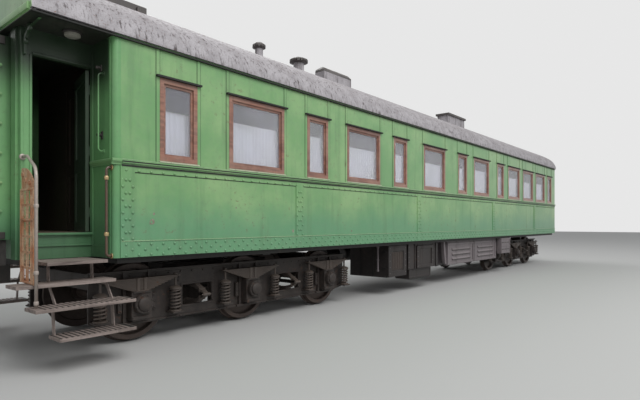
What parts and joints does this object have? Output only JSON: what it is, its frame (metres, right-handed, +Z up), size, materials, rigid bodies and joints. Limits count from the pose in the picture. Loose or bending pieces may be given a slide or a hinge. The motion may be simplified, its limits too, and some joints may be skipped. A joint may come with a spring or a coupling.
{
  "type": "six-axle passenger coach",
  "caption": "Long riveted railway saloon coach with an arched roof, recessed entrance, gangways and six-wheel bogies.",
  "frame": {"origin": "centre of the bounding box in X and Y, at the bottom of the wheel flanges", "axes": "+X along the coach away from the entrance vestibule, +Y to its right side, +Z up"},
  "size_m": [21.1, 3.58, 5.0499],
  "materials": {
    "body_paint": "faded green paint",
    "roof_paint": "stained silver paint",
    "vent_paint": "dark weathered paint",
    "ceiling_paint": "matt green paint",
    "underframe_paint": "dusty black",
    "box_paint": "dusty dark grey",
    "bogie_paint": "dusty brown grey",
    "spring_steel": "dusty steel",
    "wheel_steel": "rusted, with worn treads",
    "cast_steel": "black",
    "rusty_cast_iron": "orange rust",
    "rail_steel": "worn paint over steel",
    "varnished_wood": "red-brown varnish",
    "step_wood": "bare weathered boards",
    "floor_wood": "worn boards",
    "window_glass": "clear"
  },
  "bodies": {
    "coach": {"underframe": "underframe_paint", "floor": "floor_wood", "side_wall_left": "body_paint", "side_wall_right": "body_paint", "vestibule_wall_left": "body_paint", "vestibule_wall_right": "body_paint", "end_wall_near": "body_paint", "end_wall_far": "body_paint", "partition": "varnished_wood", "ceiling": "ceiling_paint", "roof": "roof_paint", "roof_vents": "vent_paint", "side_mouldings": "body_paint", "window_frames": "varnished_wood", "window_glass": "window_glass", "gangway_near": "body_paint", "gangway_far": "body_paint", "coupler_near": "cast_steel", "coupler_far": "cast_steel", "steps_left": "step_wood", "steps_right": "step_wood", "handrails": "rail_steel", "step_grilles": "rusty_cast_iron", "equipment_box": "underframe_paint", "apparatus_box": "underframe_paint", "battery_box": "box_paint", "relay_box": "box_paint", "brake_cylinder": "underframe_paint", "air_reservoirs": "underframe_paint"},
    "bogie_near": {"bogie_frame_near": "bogie_paint", "bogie_bolster_near": "bogie_paint", "elliptic_springs_near": "spring_steel", "spring_planks_near": "bogie_paint", "axle_springs_near": "spring_steel", "axleboxes_near": "bogie_paint", "brake_gear_near": "bogie_paint"},
    "wheelset_near_1": {"wheelset_near_1": "wheel_steel"},
    "wheelset_near_2": {"wheelset_near_2": "wheel_steel"},
    "wheelset_near_3": {"wheelset_near_3": "wheel_steel"},
    "bogie_far": {"bogie_frame_far": "bogie_paint", "bogie_bolster_far": "bogie_paint", "elliptic_springs_far": "spring_steel", "spring_planks_far": "bogie_paint", "axle_springs_far": "spring_steel", "axleboxes_far": "bogie_paint", "brake_gear_far": "bogie_paint"},
    "wheelset_far_1": {"wheelset_far_1": "wheel_steel"},
    "wheelset_far_2": {"wheelset_far_2": "wheel_steel"},
    "wheelset_far_3": {"wheelset_far_3": "wheel_steel"},
    "side_door_left": {"side_door_left": "body_paint"},
    "side_door_right": {"side_door_right": "body_paint"},
    "end_door_near": {"end_door_near": "body_paint"},
    "end_door_far": {"end_door_far": "body_paint"},
    "vestibule_inner_door": {"vestibule_inner_door": "varnished_wood"},
    "battery_door_front": {"battery_door_front": "box_paint"},
    "battery_door_rear": {"battery_door_rear": "box_paint"}
  },
  "joints": [
    {"name": "bogie_near_swivel", "type": "hinge", "parent": "coach", "child": "bogie_near", "pos_m": [-6.56, 0, 1], "axis": [0, 0, 1], "range_deg": [-3, 3]},
    {"name": "wheelset_near_1_roll", "type": "hinge", "parent": "bogie_near", "child": "wheelset_near_1", "pos_m": [-8.57, 0, 0.553], "axis": [0, 1, 0], "continuous": true},
    {"name": "wheelset_near_2_roll", "type": "hinge", "parent": "bogie_near", "child": "wheelset_near_2", "pos_m": [-6.56, 0, 0.553], "axis": [0, 1, 0], "continuous": true},
    {"name": "wheelset_near_3_roll", "type": "hinge", "parent": "bogie_near", "child": "wheelset_near_3", "pos_m": [-4.55, 0, 0.553], "axis": [0, 1, 0], "continuous": true},
    {"name": "bogie_far_swivel", "type": "hinge", "parent": "coach", "child": "bogie_far", "pos_m": [6.56, 0, 1], "axis": [0, 0, 1], "range_deg": [-3, 3]},
    {"name": "wheelset_far_1_roll", "type": "hinge", "parent": "bogie_far", "child": "wheelset_far_1", "pos_m": [4.55, 0, 0.553], "axis": [0, 1, 0], "continuous": true},
    {"name": "wheelset_far_2_roll", "type": "hinge", "parent": "bogie_far", "child": "wheelset_far_2", "pos_m": [6.56, 0, 0.553], "axis": [0, 1, 0], "continuous": true},
    {"name": "wheelset_far_3_roll", "type": "hinge", "parent": "bogie_far", "child": "wheelset_far_3", "pos_m": [8.57, 0, 0.553], "axis": [0, 1, 0], "continuous": true},
    {"name": "side_door_left_hinge", "type": "hinge", "parent": "coach", "child": "side_door_left", "pos_m": [-9.197, -0.94, 1.5], "axis": [0, 0, 1], "range_deg": [0, 103]},
    {"name": "side_door_right_hinge", "type": "hinge", "parent": "coach", "child": "side_door_right", "pos_m": [-9.197, 0.94, 1.5], "axis": [0, 0, 1], "range_deg": [0, 103]},
    {"name": "end_door_near_hinge", "type": "hinge", "parent": "coach", "child": "end_door_near", "pos_m": [-9.96, -0.343, 1.5], "axis": [0, 0, -1], "range_deg": [0, 90]},
    {"name": "end_door_far_hinge", "type": "hinge", "parent": "coach", "child": "end_door_far", "pos_m": [10.01, 0.343, 1.5], "axis": [0, 0, -1], "range_deg": [0, 90]},
    {"name": "vestibule_inner_door_hinge", "type": "hinge", "parent": "coach", "child": "vestibule_inner_door", "pos_m": [-8.9, -0.318, 1.5], "axis": [0, 0, -1], "range_deg": [0, 90]},
    {"name": "battery_door_front_hinge", "type": "hinge", "parent": "coach", "child": "battery_door_front", "pos_m": [1.1, -1.3428, 0.502], "axis": [1, 0, 0], "range_deg": [0, 110]},
    {"name": "battery_door_rear_hinge", "type": "hinge", "parent": "coach", "child": "battery_door_rear", "pos_m": [2.9, -1.3428, 0.502], "axis": [1, 0, 0], "range_deg": [0, 110]}
  ]
}
